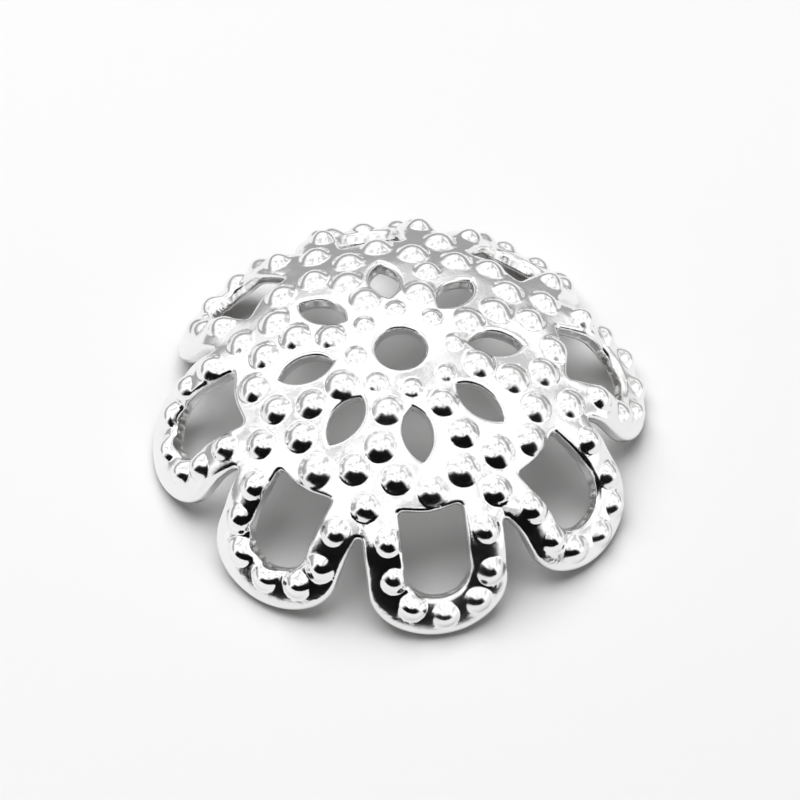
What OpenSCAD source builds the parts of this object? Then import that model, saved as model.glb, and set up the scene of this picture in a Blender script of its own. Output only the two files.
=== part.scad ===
// Bead cap: a shallow dome of thin sheet metal, stamped in one piece. A pierced disc round the
// thread hole ends in open petals that slope down to rounded tips, and rows of small raised beads
// follow every petal and every slot. Each bead is pressed from below, so it has a dimple under it.
// The origin is on the axis of the thread hole, in the plane that the petal tips stand on.

/* [Cup] */
// outside diameter over opposite petal tips
cap_d = 10;            // [9.6:0.1:11]
// outside radius of curvature of the domed middle
dome_r = 6.6;          // [5.6:0.1:8]
// diameter at which the dome bends into the petals
bend_d = 8.1;          // [7.6:0.1:8.6]
// slope of the petals from the level
petal_slope = 57;      // [48:1:66]
// thickness of the sheet
wall_t = 0.3;          // [0.25:0.01:0.4]
// diameter of the thread hole
thread_d = 1.02;       // [0.8:0.02:1.3]

/* [Petals] */
// number of petals
petal_count = 8;       // [7:1:9]
// width of a petal
petal_w = 2.84;        // [2.6:0.02:3]
// width of the metal band along the sides of a petal
band_w = 0.77;         // [0.65:0.01:0.85]
// diameter of the disc that the petals grow out of
disc_d = 7.7;          // [7.4:0.1:8]
// diameter on which the openings in the petals begin
opening_from_d = 6.56; // [6.3:0.02:6.9]
// height of the bulge in the inner edge of an opening
lip_h = 0.1;           // [0.05:0.01:0.15]
// length of that bulge along the edge
lip_w = 0.9;           // [0.7:0.05:1.1]

/* [Slots] */
// diameter of the circle that the slots' middles lie on
slot_ring_d = 3.84;    // [3.6:0.04:4.1]
// length of a slot
slot_l = 1.17;         // [0.9:0.01:1.3]
// width of a slot
slot_w = 0.6;          // [0.4:0.01:0.7]

/* [Beads] */
// diameter of a bead where it leaves the sheet
bead_d = 0.54;         // [0.44:0.01:0.56]
// height of a bead above the sheet
bead_h = 0.19;         // [0.12:0.01:0.22]
// diameter of the dimple under a bead
dimple_d = 0.4;        // [0.3:0.01:0.44]
// depth of the dimple under a bead
dimple_h = 0.13;       // [0.08:0.01:0.16]
// diameter of the small beads round the thread hole
hole_bead_d = 0.4;     // [0.3:0.01:0.44]
// height of the small beads round the thread hole
hole_bead_h = 0.13;    // [0.08:0.01:0.16]
// diameter of the circle of small beads
hole_ring_d = 1.99;    // [1.9:0.01:2.1]
// beads in the row round a petal
row_count = 7;         // [5:2:7]
// distance between the beads of that row
row_pitch = 0.74;      // [0.68:0.01:0.76]
// distance from the row to the outer edge of the petal
row_inset = 0.454;     // [0.4:0.002:0.48]

/* [Hidden] */
$fn = 48;
rim_r = cap_d / 2;
bend_r = bend_d / 2;
disc_r = disc_d / 2;
petal_r = petal_w / 2;
opening_r = petal_r - band_w;
pitch_a = 360 / petal_count;
// height of the outer edge of a petal tip, whose inner edge stands on the ground plane
tip_z = wall_t * cos(petal_slope);
bend_z = tip_z + (rim_r - bend_r) * tan(petal_slope);
dome_z = bend_z - sqrt(pow(dome_r, 2) - pow(bend_r, 2));
top_z = dome_z + dome_r;
// lengths along the outer surface: from the top to the bend, and from the bend to the tip
dome_arc = dome_r * asin(bend_r / dome_r) * PI / 180;
slope_len = (rim_r - bend_r) / cos(petal_slope);
// reach of the cutting tools beyond the sheet
reach = 1.2;
// turn of the round faces, which keeps their seam off the middle lines of petals and slots
seam_turn = pitch_a / 6;
// the openings are cut square to the sheet half way along them
opening_tilt = (petal_slope + asin(opening_from_d / 2 / dome_r)) / 2;
// beads of the disc: distance from the axis as a share of the disc's radius, and turn from the
// middle line of a petal as a share of the angle between two petals
disc_beads = [
    [0.386, 0.5],
    [0.573, 0.5],
    [0.718, 0.307],
    [0.718, -0.307],
    [0.787, 0],
    [0.867, 0.5],
];

// height of the outer surface over a point at distance r from the axis
function surface_z(r) = r < bend_r ? dome_z + sqrt(pow(dome_r, 2) - r * r)
                                   : tip_z + (rim_r - r) * tan(petal_slope);
// slope of the outer surface there
function surface_tilt(r) = r < bend_r ? asin(r / dome_r) : petal_slope;
// distance from the axis of the point that lies s up the middle line of a petal from its tip
function line_r(s) = s < slope_len ? rim_r - s * cos(petal_slope)
                                   : dome_r * sin((dome_arc - (s - slope_len)) / dome_r * 180 / PI);
// radius of the ball that leaves a cap of diameter d and height h above a surface
function ball_r(d, h) = (d * d / 4 + h * h) / (2 * h);

// places its children on the outer surface, with their own z axis square to it
module on_surface(r, turn, tilt)
    rotate([0, 0, turn])
        translate([0, -r, surface_z(r)])
            rotate([tilt, 0, 0])
                children();

// the solid under a dome and cone that lie the given distance inside the outer surface
module cup(inset)
    rotate([0, 0, seam_turn]) intersection() {
        translate([0, 0, dome_z])
            sphere(r = dome_r - inset, $fn = 96);
        translate([0, 0, -reach])
            cylinder(h = top_z + 2 * reach,
                     r1 = rim_r + (tip_z + reach) / tan(petal_slope) - inset / sin(petal_slope),
                     r2 = rim_r + (tip_z - top_z - reach) / tan(petal_slope) - inset / sin(petal_slope),
                     $fn = 96);
    }

// a prism that leaves a rounded petal, as seen square to its slope
module petal_prism() {
    translate([0, petal_r, -2 * reach])
        cylinder(r = petal_r, h = 3 * reach);
    translate([-petal_r, petal_r, -2 * reach])
        cube([petal_w, petal_r, 3 * reach]);
}

// the cutter of the opening in a petal, with the bulge of its inner edge left standing
module opening_cutter() {
    tip_y = band_w + opening_r;
    end_y = (rim_r - opening_from_d / 2) * cos(opening_tilt)
            + (surface_z(opening_from_d / 2) - tip_z) * sin(opening_tilt);
    lip_r = ball_r(lip_w, lip_h);
    difference() {
        union() {
            translate([0, tip_y, -reach])
                cylinder(r = opening_r, h = 2 * reach);
            translate([-opening_r, tip_y, -reach])
                cube([2 * opening_r, end_y - tip_y, 2 * reach]);
        }
        translate([0, end_y - lip_h + lip_r, -2 * reach])
            cylinder(r = lip_r, h = 4 * reach);
    }
}

// the cutter of a slot: two arcs that meet in points
module slot_cutter() {
    arc_r = ball_r(slot_l, slot_w / 2);
    intersection_for(side = [-1, 1])
        translate([side * (arc_r - slot_w / 2), 0, -reach])
            cylinder(r = arc_r, h = 2 * reach);
}

// one place for each bead round a petal, as turn and distance from the axis
function row_place(i) =
    let (row_r = petal_r - row_inset,
         run = abs(i) * row_pitch,
         quarter = row_r * PI / 2,
         along = run < quarter ? row_r * (1 - cos(run / row_r * 180 / PI)) : row_r + run - quarter,
         side = sign(i) * (run < quarter ? row_r * sin(run / row_r * 180 / PI) : row_r),
         mid_r = line_r(row_inset + along))
    [atan2(side, mid_r), norm([side, mid_r])];

// puts its children on every bead of the rows round the petals and on the disc
module each_bead()
    for (k = [0 : petal_count - 1]) {
        for (i = [-(row_count - 1) / 2 : (row_count - 1) / 2]) {
            place = row_place(i);
            on_surface(place[1], k * pitch_a + place[0], surface_tilt(place[1]))
                children();
        }
        for (row = disc_beads)
            on_surface(row[0] * disc_r, (k + row[1]) * pitch_a, surface_tilt(row[0] * disc_r))
                children();
    }

// puts its children on the small beads round the thread hole
module each_hole_bead()
    for (k = [0 : petal_count - 1])
        on_surface(hole_ring_d / 2, k * pitch_a, surface_tilt(hole_ring_d / 2))
            children();

// the plan of the part: the disc with the petals round it
module outline_prism() {
    translate([0, 0, -3 * reach])
        cylinder(r = disc_r, h = top_z + 4 * reach);
    for (k = [0 : petal_count - 1])
        on_surface(rim_r, k * pitch_a, petal_slope)
            petal_prism();
}

module bead_cap()
    color([0.86, 0.86, 0.87])
    difference() {
        union() {
            difference() {
                intersection() {
                    difference() {
                        cup(0);
                        cup(wall_t);
                    }
                    outline_prism();
                }
                for (k = [0 : petal_count - 1]) {
                    on_surface(rim_r, k * pitch_a, opening_tilt)
                        opening_cutter();
                    on_surface(slot_ring_d / 2, k * pitch_a, surface_tilt(slot_ring_d / 2))
                        slot_cutter();
                }
                cylinder(d = thread_d, h = top_z + reach);
            }
            each_bead()
                translate([0, 0, bead_h - ball_r(bead_d, bead_h)])
                    sphere(r = ball_r(bead_d, bead_h), $fn = 24);
            each_hole_bead()
                translate([0, 0, hole_bead_h - ball_r(hole_bead_d, hole_bead_h)])
                    sphere(r = ball_r(hole_bead_d, hole_bead_h), $fn = 24);
        }
        each_bead()
            translate([0, 0, -wall_t + dimple_h - ball_r(dimple_d, dimple_h)])
                sphere(r = ball_r(dimple_d, dimple_h), $fn = 24);
    }

bead_cap();
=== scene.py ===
"""The dressed bead cap: a pierced, beaded dome of thin silver-plated sheet on a pale floor."""
import math

import bmesh
import bpy
import numpy as np
from mathutils import Matrix, Vector


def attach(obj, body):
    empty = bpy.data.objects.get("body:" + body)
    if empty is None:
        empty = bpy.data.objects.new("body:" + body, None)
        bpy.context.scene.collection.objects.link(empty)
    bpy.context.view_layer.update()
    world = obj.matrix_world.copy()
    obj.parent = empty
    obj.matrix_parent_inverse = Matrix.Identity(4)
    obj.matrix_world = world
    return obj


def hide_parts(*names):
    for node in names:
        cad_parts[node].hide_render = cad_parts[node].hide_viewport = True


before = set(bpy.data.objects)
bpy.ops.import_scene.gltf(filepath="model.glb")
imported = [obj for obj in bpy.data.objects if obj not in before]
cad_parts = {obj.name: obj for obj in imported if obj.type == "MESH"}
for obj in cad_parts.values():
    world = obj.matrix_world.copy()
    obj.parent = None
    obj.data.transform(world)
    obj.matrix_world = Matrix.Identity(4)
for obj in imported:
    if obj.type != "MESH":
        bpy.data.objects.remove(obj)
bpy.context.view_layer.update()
rng = np.random.default_rng(8)
MM = 0.001

# Profile of the outer surface in millimetres: a domed middle, a bend and a flared skirt of petals
TOP_Z = 3.015
WALL = 0.3
DOME_R = 6.6
DOME_END = math.radians(36.12)
BEND_R = 1.1
BEND_END = math.radians(62.0)
FLARE_R = 8.28
FLARE_END = math.radians(52.0)
# how far the profile is followed past its ends, as a length and as an angle
RUN_OUT = 0.4
TURN_OUT = 0.1
PROFILE_STEPS = 1500

# Piercing in millimetres, measured along the surface
PETALS = 8
PITCH = 2 * math.pi / PETALS
PETAL_R = 1.42
OPENING_R = 0.65
OPENING_FROM_R = 3.28
LIP_H = 0.1
LIP_W = 0.9
DISC_R = 3.85
SLOT_RING_R = 1.92
SLOT_L = 1.17
SLOT_W = 0.6
HOLE_R = 0.51
# softness of the valleys between petals, of the ends of the lips and of the openings' corners
VALLEY_SOFT = 0.08
LIP_SOFT = 0.1
CORNER_SOFT = 0.12
EDGE_ROUND = 0.085

# The bands round the openings are crowned across their width, fading out up the petal
CROWN = 0.075
CROWN_FROM = 2.0
CROWN_TO = 3.0
CROWN_SPILL = 0.15

# Beads: foot radius and height, of those on the disc, in the rows and round the hole
DISC_BEAD = (0.325, 0.165)
ROW_BEAD = (0.29, 0.15)
HOLE_BEAD = (0.21, 0.1)
# places on the disc: length from the top, and turn from a petal's middle as a share of the pitch
DISC_PLACES = ((1.495, 0.5), (2.24, 0.5), (2.855, 0.307), (2.855, -0.307), (3.15, 0.0), (3.5, 0.5))
HOLE_RING = 1.0
ROW_SIDE_BEADS = 3
ROW_PITCH = 0.74
ROW_INSET = 0.454
DIMPLE_SHARE = 0.75
# beads with a smaller foot than this have no dimple
DIMPLE_FOOT = 1.1 * HOLE_BEAD[0]
FILLET = 0.03
# squared distance from a bead, in foot radii, beyond which it doesn't matter
BEAD_REACH = 1.5
# the beads are struck a little off the middle of the piercing, and not quite alike
STRIKE_SHIFT = 0.08
PLACE_SPREAD = 0.018
FOOT_SPREAD = 0.04
HEIGHT_SPREAD = 0.06

# Slow unevenness of the sheet
WAVES = 10
SHORTEST_WAVE = 0.7
WAVE_H = 0.0016

# Mesh in millimetres
LOW_CORNER = np.array([-5.15, -5.15, -0.15])
HIGH_CORNER = np.array([5.15, 5.15, 3.35])
VOXEL = 0.043
BAND = 0.3
FAR = 5.0
SLOPE_STEP = 0.004
NORMAL_STEP = 0.015
FLATTEST = 0.2
SETTLE_ROUNDS = 2
MOST_TRIANGLES = 196000
JOIN_WITHIN = 0.005


def unit(angle):
    return np.array([math.sin(angle), math.cos(angle)])


# middles of the profile's three arcs in the plane through the axis, and lengths up to their ends
DOME_MID = np.array([0.0, TOP_Z - DOME_R])
BEND_MID = DOME_MID + (DOME_R - BEND_R) * unit(DOME_END)
FLARE_MID = BEND_MID + (BEND_R + FLARE_R) * unit(BEND_END)
DOME_LEN = DOME_R * DOME_END
BEND_LEN = DOME_LEN + BEND_R * (BEND_END - DOME_END)
TIP_LEN = BEND_LEN + FLARE_R * (BEND_END - FLARE_END)


def unroll(r, z):
    """Length along the outer surface from the top, and height above it, for points near the sheet."""
    a1 = np.arctan2(r - DOME_MID[0], z - DOME_MID[1])
    a2 = np.arctan2(r - BEND_MID[0], z - BEND_MID[1])
    a3 = np.arctan2(FLARE_MID[0] - r, FLARE_MID[1] - z)
    dome = a1 <= DOME_END
    bend = ~dome & (a2 > 0) & (a2 <= BEND_END)
    flare = ~dome & ~bend & (a3 > FLARE_END - TURN_OUT) & (a3 < BEND_END + TURN_OUT)
    lengths = [
        DOME_R * a1,
        DOME_LEN + BEND_R * (a2 - DOME_END),
        BEND_LEN + FLARE_R * (BEND_END - a3),
    ]
    heights = [
        np.hypot(r - DOME_MID[0], z - DOME_MID[1]) - DOME_R,
        np.hypot(r - BEND_MID[0], z - BEND_MID[1]) - BEND_R,
        FLARE_R - np.hypot(FLARE_MID[0] - r, FLARE_MID[1] - z),
    ]
    arcs = [dome, bend, flare]
    return np.select(arcs, lengths, TIP_LEN + RUN_OUT), np.select(arcs, heights, FAR)


def profile_point(s):
    """Radius and height of the outer surface at length s."""
    if s <= DOME_LEN:
        return DOME_MID + DOME_R * unit(s / DOME_R)
    if s <= BEND_LEN:
        return BEND_MID + BEND_R * unit(DOME_END + (s - DOME_LEN) / BEND_R)
    return FLARE_MID - FLARE_R * unit(BEND_END - (s - BEND_LEN) / FLARE_R)


profile_s = np.linspace(0, TIP_LEN + RUN_OUT, PROFILE_STEPS)
profile_r, profile_z = np.array([profile_point(s) for s in profile_s]).T


def s_at(r):
    return np.interp(r, profile_r, profile_s)


def r_at(s):
    return np.interp(s, profile_s, profile_r)


def on_surface(s, turn):
    r = r_at(s)
    return np.stack([r * np.sin(turn), -r * np.cos(turn), np.interp(s, profile_s, profile_z)], -1)


def smooth_min(a, b, k):
    h = np.maximum(k - np.abs(a - b), 0) / k
    return np.minimum(a, b) - h * h * k / 4


def smooth_max(a, b, k):
    return -smooth_min(-a, -b, k)


def arc_radius(chord, rise):
    """Radius of the arc over a chord that rises by the given height."""
    return (chord * chord / 4 + rise * rise) / (2 * rise)


def pattern(s, turn):
    """Distance to the cut edges along the surface, negative inside the metal, and share of the crown."""
    local = (turn + PITCH / 2) % PITCH - PITCH / 2
    r = r_at(s)
    side = r * np.sin(local)
    y = TIP_LEN - s_at(r * np.cos(local))
    to_middle = np.where(y < PETAL_R, np.hypot(side, y - PETAL_R), np.abs(side))
    petal = to_middle - PETAL_R
    outline = smooth_min(petal, s - s_at(DISC_R), VALLEY_SOFT)
    lip_r = arc_radius(LIP_W, LIP_H)
    past_end = y - TIP_LEN + s_at(OPENING_FROM_R)
    end = smooth_max(past_end, lip_r - np.hypot(side, past_end + LIP_H - lip_r), LIP_SOFT)
    opening = smooth_max(to_middle - OPENING_R, end, CORNER_SOFT)
    slot_r = arc_radius(SLOT_L, SLOT_W / 2)
    slot_mid = slot_r - SLOT_W / 2
    v = s - s_at(SLOT_RING_R)
    slot = np.maximum(np.hypot(v, side + slot_mid), np.hypot(v, side - slot_mid)) - slot_r
    hole = s - s_at(HOLE_R)
    across = np.clip(-petal / (PETAL_R - OPENING_R), -CROWN_SPILL, 1 + CROWN_SPILL)
    fade = np.clip((CROWN_TO - y) / (CROWN_TO - CROWN_FROM), 0, 1)
    crown = 4 * across * (1 - across) * fade * fade * (3 - 2 * fade)
    return np.maximum.reduce([outline, -opening, -slot, -hole]), crown


def bead_places():
    """Length, turn and size of every bead."""
    row_r = PETAL_R - ROW_INSET
    quarter = row_r * math.pi / 2
    places = []
    for k in range(PETALS):
        for s, share in DISC_PLACES:
            places.append((s, (k + share) * PITCH, DISC_BEAD))
        for i in range(-ROW_SIDE_BEADS, ROW_SIDE_BEADS + 1):
            run = abs(i) * ROW_PITCH
            if run < quarter:
                side = row_r * math.sin(run / row_r)
                up = row_r * (1 - math.cos(run / row_r))
            else:
                side = row_r
                up = row_r + run - quarter
            side = math.copysign(side, i)
            axis_r = float(r_at(TIP_LEN - ROW_INSET - up))
            turn = k * PITCH + math.atan2(side, axis_r)
            places.append((float(s_at(math.hypot(side, axis_r))), turn, ROW_BEAD))
        places.append((HOLE_RING, k * PITCH, HOLE_BEAD))
    return places


beads = []
for s, turn, (foot, height) in bead_places():
    s += rng.normal(0, PLACE_SPREAD)
    turn += rng.normal(0, PLACE_SPREAD) / max(r_at(s), 1)
    foot *= 1 + rng.normal(0, FOOT_SPREAD)
    height *= 1 + rng.normal(0, HEIGHT_SPREAD)
    struck = on_surface(s, turn)
    struck[0] += STRIKE_SHIFT
    middle = on_surface(s_at(math.hypot(struck[0], struck[1])), math.atan2(struck[0], -struck[1]))
    beads.append((middle, foot, height))

waves = [(rng.normal(0, 1, 3), rng.uniform(0, 2 * math.pi)) for _ in range(WAVES)]


def unevenness(p):
    total = np.zeros(len(p))
    for heading, phase in waves:
        wave_length = SHORTEST_WAVE + abs(heading[0])
        total += np.sin(p @ (heading / np.linalg.norm(heading) * 2 * math.pi / wave_length) + phase)
    return total * WAVE_H


def distance(p):
    """Signed distance to the metal, near enough in a thin band round it."""
    s, h = unroll(np.hypot(p[:, 0], p[:, 1]), p[:, 2])
    turn = np.arctan2(p[:, 0], -p[:, 1])
    edge, crown = pattern(s, turn)
    edge += EDGE_ROUND
    h = h - CROWN * crown
    base = on_surface(s, turn)
    top = np.zeros(len(p))
    bottom = np.full(len(p), -WALL)
    for middle, foot, height in beads:
        gap = ((base - middle) ** 2).sum(1) / foot ** 2
        near = np.flatnonzero(gap < BEAD_REACH)
        bump = height * (1 - gap[near])
        top[near] = np.maximum(top[near], smooth_max(bump, 0, FILLET))
        if foot > DIMPLE_FOOT:
            dimple = DIMPLE_SHARE * height - height / DIMPLE_SHARE * gap[near]
            bottom[near] = np.maximum(bottom[near], smooth_max(dimple, 0, FILLET) - WALL)
    skin = np.abs(h - (top + bottom) / 2) - (top - bottom) / 2 + EDGE_ROUND
    outside = np.hypot(np.maximum(edge, 0), np.maximum(skin, 0))
    return np.minimum(np.maximum(edge, skin), 0) + outside - EDGE_ROUND + unevenness(p)


def gradient(p, step):
    total = np.zeros_like(p)
    for corner in ((1, -1, -1), (-1, -1, 1), (-1, 1, -1), (1, 1, 1)):
        corner = np.array(corner, float)
        total += corner * distance(p + step * corner)[:, None]
    return total / (4 * step)


def settle(points):
    """Draws points onto the surface."""
    for _ in range(SETTLE_ROUNDS):
        g = gradient(points, SLOPE_STEP)
        move = distance(points)[:, None] * g / np.maximum((g * g).sum(1), FLATTEST)[:, None]
        points = points - np.clip(move, -VOXEL / 2, VOXEL / 2)
    return points


def sample_grid():
    """Signed distance at the points of a regular grid."""
    counts = np.ceil((HIGH_CORNER - LOW_CORNER) / VOXEL).astype(int) + 1
    ticks = [LOW_CORNER[i] + VOXEL * np.arange(counts[i]) for i in range(3)]
    spots = np.stack(np.meshgrid(*ticks, indexing="ij"), -1).reshape(-1, 3)
    _, h = unroll(np.hypot(spots[:, 0], spots[:, 1]), spots[:, 2])
    near = np.abs(h + WALL / 2) < WALL / 2 + BAND
    field = np.ones(len(spots))
    field[near] = distance(spots[near])
    return field.reshape(counts)


def cell_points(field, corner):
    """A point in each cell that the surface crosses: the mean of where it cuts the cell's edges."""
    total = np.zeros((len(corner), 3))
    weight = np.zeros(len(corner))
    for axis in range(3):
        others = [i for i in range(3) if i != axis]
        for a in (0, 1):
            for b in (0, 1):
                start = np.zeros(3, int)
                start[others] = a, b
                stop = start.copy()
                stop[axis] = 1
                f0 = field[tuple((corner + start).T)]
                f1 = field[tuple((corner + stop).T)]
                cut = (f0 < 0) != (f1 < 0)
                share = np.where(cut, f0 / np.where(cut, f0 - f1, 1), 0)
                total += (start + np.outer(share, stop - start)) * cut[:, None]
                weight += cut
    return LOW_CORNER + VOXEL * (corner + total / weight[:, None])


def cell_quads(solid, index):
    """A face across each grid edge that the surface cuts, joining the four cells round it."""
    quads = []
    for axis in range(3):
        b, c = (axis + 1) % 3, (axis + 2) % 3
        here = [slice(1, -1)] * 3
        here[axis] = slice(0, solid.shape[axis] - 1)
        there = list(here)
        there[axis] = slice(1, solid.shape[axis])
        first, second = solid[tuple(here)], solid[tuple(there)]
        for edges, flip in ((first & ~second, False), (~first & second, True)):
            at = np.argwhere(edges)
            at[:, b] += 1
            at[:, c] += 1
            ring = []
            for db, dc in ((-1, -1), (0, -1), (0, 0), (-1, 0)):
                cell = at.copy()
                cell[:, b] += db
                cell[:, c] += dc
                ring.append(index[tuple(cell.T)])
            ring = np.stack(ring, 1)
            quads.append(ring[:, ::-1] if flip else ring)
    return np.concatenate(quads)


def shell_mesh():
    """Points near the surface and the quads that join them."""
    field = sample_grid()
    solid = field < 0
    corners_inside = np.zeros(np.array(solid.shape) - 1, int)
    ends = (slice(None, -1), slice(1, None))
    for i in ends:
        for j in ends:
            for k in ends:
                corners_inside += solid[i, j, k]
    mixed = (corners_inside > 0) & (corners_inside < 8)
    index = np.full(mixed.shape, -1)
    index[mixed] = np.arange(mixed.sum())
    return cell_points(field, np.argwhere(mixed)), cell_quads(solid, index)


def mesh_points(mesh):
    flat = np.empty(3 * len(mesh.vertices))
    mesh.vertices.foreach_get("co", flat)
    return flat.reshape(-1, 3)


def place_object(name, points, faces):
    mesh = bpy.data.meshes.new(name)
    mesh.from_pydata(points, [], faces)
    placed = bpy.data.objects.new(name, mesh)
    bpy.context.collection.objects.link(placed)
    return placed


def thin_out(piece, ratio):
    """Leaves the given share of the piece's triangles."""
    thin = piece.modifiers.new("thin", "DECIMATE")
    thin.ratio = ratio
    full = piece.data
    kept = bpy.data.meshes.new_from_object(piece.evaluated_get(bpy.context.evaluated_depsgraph_get()))
    piece.modifiers.clear()
    piece.data = kept
    bpy.data.meshes.remove(full)
    kept.name = piece.name


def join_pinched(mesh):
    """Joins points that fell together, and closes edges that more than two faces share."""
    work = bmesh.new()
    work.from_mesh(mesh)
    bmesh.ops.remove_doubles(work, verts=work.verts, dist=JOIN_WITHIN)
    bmesh.ops.collapse(work, edges=[edge for edge in work.edges if len(edge.link_faces) > 2])
    work.to_mesh(mesh)
    work.free()


points, quads = shell_mesh()
cap = place_object("bead_cap_metal", settle(points).tolist(), quads.tolist())
thin_out(cap, MOST_TRIANGLES / (2 * len(quads)))
cap.data.vertices.foreach_set("co", settle(mesh_points(cap.data)).ravel())
join_pinched(cap.data)
points = mesh_points(cap.data)
normals = gradient(points, NORMAL_STEP)
normals /= np.linalg.norm(normals, axis=1)[:, None]
points[:, 2] -= points[:, 2].min()
cap.data.vertices.foreach_set("co", (points * MM).ravel())
cap.data.validate()
cap.data.shade_smooth()
cap.data.normals_split_custom_set_from_vertices(normals.tolist())


def connect(tree, node, **values):
    """Sets inputs of a node to constants or to outputs of other nodes, and returns its output."""
    for name, value in values.items():
        socket = next(i for i in node.inputs if i.name == name.replace("_", " ") and i.enabled)
        if isinstance(value, bpy.types.NodeSocket):
            tree.links.new(value, socket)
        else:
            socket.default_value = value
    return next(o for o in node.outputs if o.enabled)


def mix(tree, factor, first, second, kind="FLOAT"):
    node = tree.nodes.new("ShaderNodeMix")
    node.data_type = kind
    return connect(tree, node, Factor=factor, A=first, B=second)


def noise(tree, place, scale, detail=3.0):
    node = tree.nodes.new("ShaderNodeTexNoise")
    return connect(tree, node, Vector=place, Scale=scale, Detail=detail)


def spread(tree, value, source, target=(0.0, 1.0), kind="LINEAR"):
    """The value with the range source mapped to the range target, and held at its ends."""
    node = tree.nodes.new("ShaderNodeMapRange")
    node.interpolation_type = kind
    return connect(
        tree, node, Value=value, From_Min=source[0], From_Max=source[1], To_Min=target[0], To_Max=target[1]
    )


# Silver plate: rougher where the metal faces down, and darker in colour there as painted shade
PLATE_COLOURS = ((0.95, 0.95, 0.955, 1), (0.86, 0.855, 0.85, 1))
PLATE_ROUGHNESS = (0.07, 0.2)
# painted shade: the darker colour given to metal that faces down
UNDER_PAINTED_SHADE_COLOUR = (0.42, 0.41, 0.4, 1)
UNDER_ROUGHNESS = 0.4
UNDER_FACING = (-0.2, -0.4)
NOISE_MIDDLE = (0.3, 0.7)
CLOUD_SCALE = 700.0
TINT_SCALE = 350.0
GRAIN_SCALE = 5000.0
GRAIN_DETAIL = 4.0
GRAIN_DEPTH = 0.00004
GRAIN_STRENGTH = 0.15

silver = bpy.data.materials.new("silver_plate")
silver.use_nodes = True
tree = silver.node_tree
shader = tree.nodes["Principled BSDF"]
shader.inputs["Metallic"].default_value = 1.0
place = tree.nodes.new("ShaderNodeTexCoord").outputs["Object"]
facing = tree.nodes.new("ShaderNodeSeparateXYZ")
connect(tree, facing, Vector=tree.nodes.new("ShaderNodeNewGeometry").outputs["Normal"])
down_dullness_and_shade = spread(tree, facing.outputs["Z"], UNDER_FACING)
polish = spread(tree, noise(tree, place, CLOUD_SCALE), NOISE_MIDDLE, PLATE_ROUGHNESS)
plate = mix(tree, noise(tree, place, TINT_SCALE), *PLATE_COLOURS, "RGBA")
grain = connect(
    tree,
    tree.nodes.new("ShaderNodeBump"),
    Height=noise(tree, place, GRAIN_SCALE, GRAIN_DETAIL),
    Strength=GRAIN_STRENGTH,
    Distance=GRAIN_DEPTH,
)
# the faces-down mask makes the metal rougher there and also mixes in the painted shade colour
tree.links.new(mix(tree, down_dullness_and_shade, polish, UNDER_ROUGHNESS), shader.inputs["Roughness"])
tree.links.new(mix(tree, down_dullness_and_shade, plate, UNDER_PAINTED_SHADE_COLOUR, "RGBA"), shader.inputs["Base Color"])
tree.links.new(grain, shader.inputs["Normal"])
cap.data.materials.append(silver)
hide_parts("bead_cap")
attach(cap, "root")

# Floor: a near sheet, and a far one round it that the metal doesn't mirror
NEAR_FLOOR = ((-0.012, -0.0085), (0.012, 0.014))
FAR_FLOOR = ((-0.6, -0.6), (0.6, 0.6))
PAPER_COLOUR = (0.9, 0.9, 0.9, 1)
PAPER_ROUGHNESS = 0.6


def corners(low, high):
    return [(low[0], low[1], 0), (high[0], low[1], 0), (high[0], high[1], 0), (low[0], high[1], 0)]


paper = bpy.data.materials.new("floor_paper")
paper.use_nodes = True
paper.node_tree.nodes["Principled BSDF"].inputs["Base Color"].default_value = PAPER_COLOUR
paper.node_tree.nodes["Principled BSDF"].inputs["Roughness"].default_value = PAPER_ROUGHNESS
near = corners(*NEAR_FLOOR)
ring = [(i, (i + 1) % 4, (i + 1) % 4 + 4, i + 4) for i in range(4)]
floor = place_object("floor", near, [(0, 1, 2, 3)])
far_floor = place_object("far_floor", corners(*FAR_FLOOR) + near, ring)
far_floor.visible_glossy = False
for piece in (floor, far_floor):
    piece.data.materials.append(paper)

# Light: a white tent, grey low at the back and dark low at the front, and a softbox overhead
WHITE = (0.8, 1.6)
WHITE_PATCHES = (0.35, 0.5)
PATCH_SCALE = 3.0
# the dark and the grey fade between these heights in degrees, and these shares towards their side
DARK = 0.006
DARK_TURN = math.radians(-14)
DARK_HEIGHTS = (39, 50)
DARK_SHARES = (0.27, 0.57)
GREY = 0.5
GREY_HEIGHTS = (5, 28)
GREY_SHARES = (0.1, -0.2)
FILL_SHARE = 0.25
LAMP_SIZE = 0.15
LAMP_WATTS = 0.26
LAMP_PLACE = Vector((-0.012, 0.04, 0.145))

bpy.context.scene.view_settings.view_transform = "Standard"
world = bpy.data.worlds.new("tent")
bpy.context.scene.world = world
world.use_nodes = True
tree = world.node_tree
tree.nodes.clear()
heading = tree.nodes.new("ShaderNodeTexCoord").outputs["Generated"]
split = tree.nodes.new("ShaderNodeSeparateXYZ")
connect(tree, split, Vector=heading)


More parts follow.
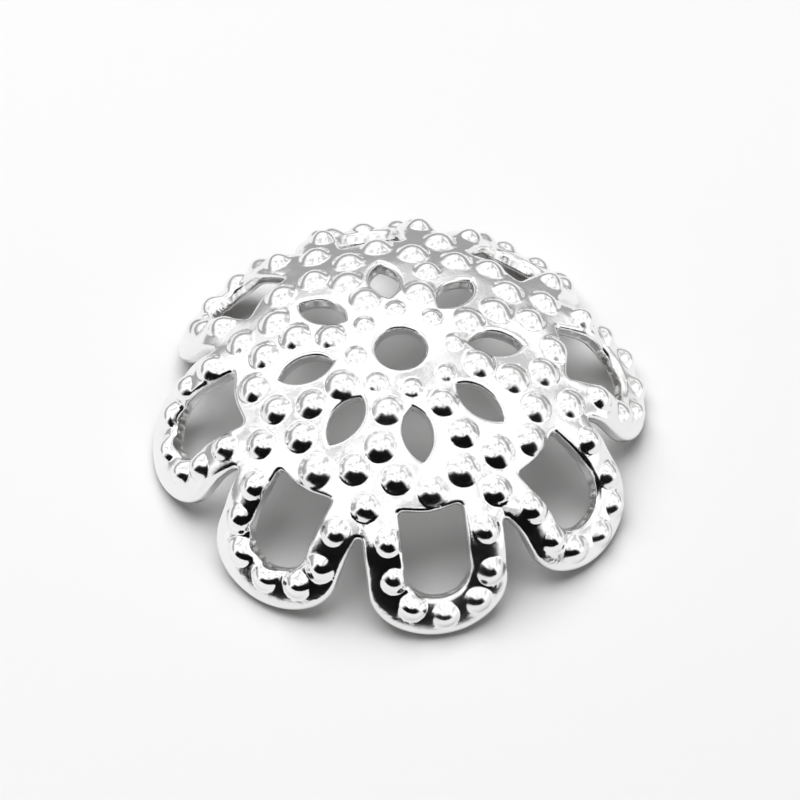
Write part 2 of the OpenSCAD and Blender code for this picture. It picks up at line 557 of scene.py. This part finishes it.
def low_side(turn, heights, shares):
    """1 below the heights on the side at the given turn from the front, and 0 elsewhere."""
    toward = tree.nodes.new("ShaderNodeVectorMath")
    toward.operation = "DOT_PRODUCT"
    toward.inputs[1].default_value = (math.sin(turn), -math.cos(turn), 0)
    tree.links.new(heading, toward.inputs[0])
    sines = [math.sin(math.radians(angle)) for angle in heights]
    above = spread(tree, split.outputs["Z"], sines, kind="SMOOTHSTEP")
    on_side = spread(tree, toward.outputs["Value"], shares, kind="SMOOTHSTEP")
    return mix(tree, above, on_side, 0.0)


patches = spread(tree, noise(tree, heading, PATCH_SCALE), WHITE_PATCHES, kind="SMOOTHSTEP")
tone = mix(tree, low_side(0, GREY_HEIGHTS, GREY_SHARES), mix(tree, patches, *WHITE), GREY)
tone = mix(tree, low_side(DARK_TURN, DARK_HEIGHTS, DARK_SHARES), tone, DARK)
path = tree.nodes.new("ShaderNodeLightPath")
soft = mix(tree, path.outputs["Is Diffuse Ray"], tone, FILL_SHARE)
seen = mix(tree, path.outputs["Is Camera Ray"], soft, 1.0)
glow = connect(tree, tree.nodes.new("ShaderNodeBackground"), Strength=seen)
tree.links.new(glow, tree.nodes.new("ShaderNodeOutputWorld").inputs["Surface"])

softbox = bpy.data.lights.new("softbox", "AREA")
softbox.size = LAMP_SIZE
softbox.energy = LAMP_WATTS
lamp = bpy.data.objects.new("softbox", softbox)
bpy.context.collection.objects.link(lamp)
lamp.location = LAMP_PLACE
lamp.rotation_euler = LAMP_PLACE.to_track_quat("Z", "Y").to_euler()
lamp.visible_glossy = False

# Camera at the photograph's angle; the cap takes this share of the picture's width
ELEVATION = math.radians(54.3)
AZIMUTH = math.radians(10.9)
ROLL = math.radians(0.9)
DISTANCE = 0.143
AIM = Vector((0, 0, 0.0012))
CAP_SHARE = 0.64
CAP_ACROSS = 0.0102
SENSOR = 36
CLIP = (0.01, 5)

level = math.cos(ELEVATION)
toward = Vector((-math.sin(AZIMUTH) * level, -math.cos(AZIMUTH) * level, math.sin(ELEVATION)))
camera_data = bpy.data.cameras.new("camera")
camera_data.sensor_width = SENSOR
camera_data.lens = SENSOR * DISTANCE * CAP_SHARE / CAP_ACROSS
camera_data.clip_start, camera_data.clip_end = CLIP
camera = bpy.data.objects.new("camera", camera_data)
bpy.context.collection.objects.link(camera)
camera.location = AIM + toward * DISTANCE
turned = toward.to_track_quat("Z", "Y").to_matrix() @ Matrix.Rotation(ROLL, 3, "Z")
camera.rotation_euler = turned.to_euler()
bpy.context.scene.camera = camera
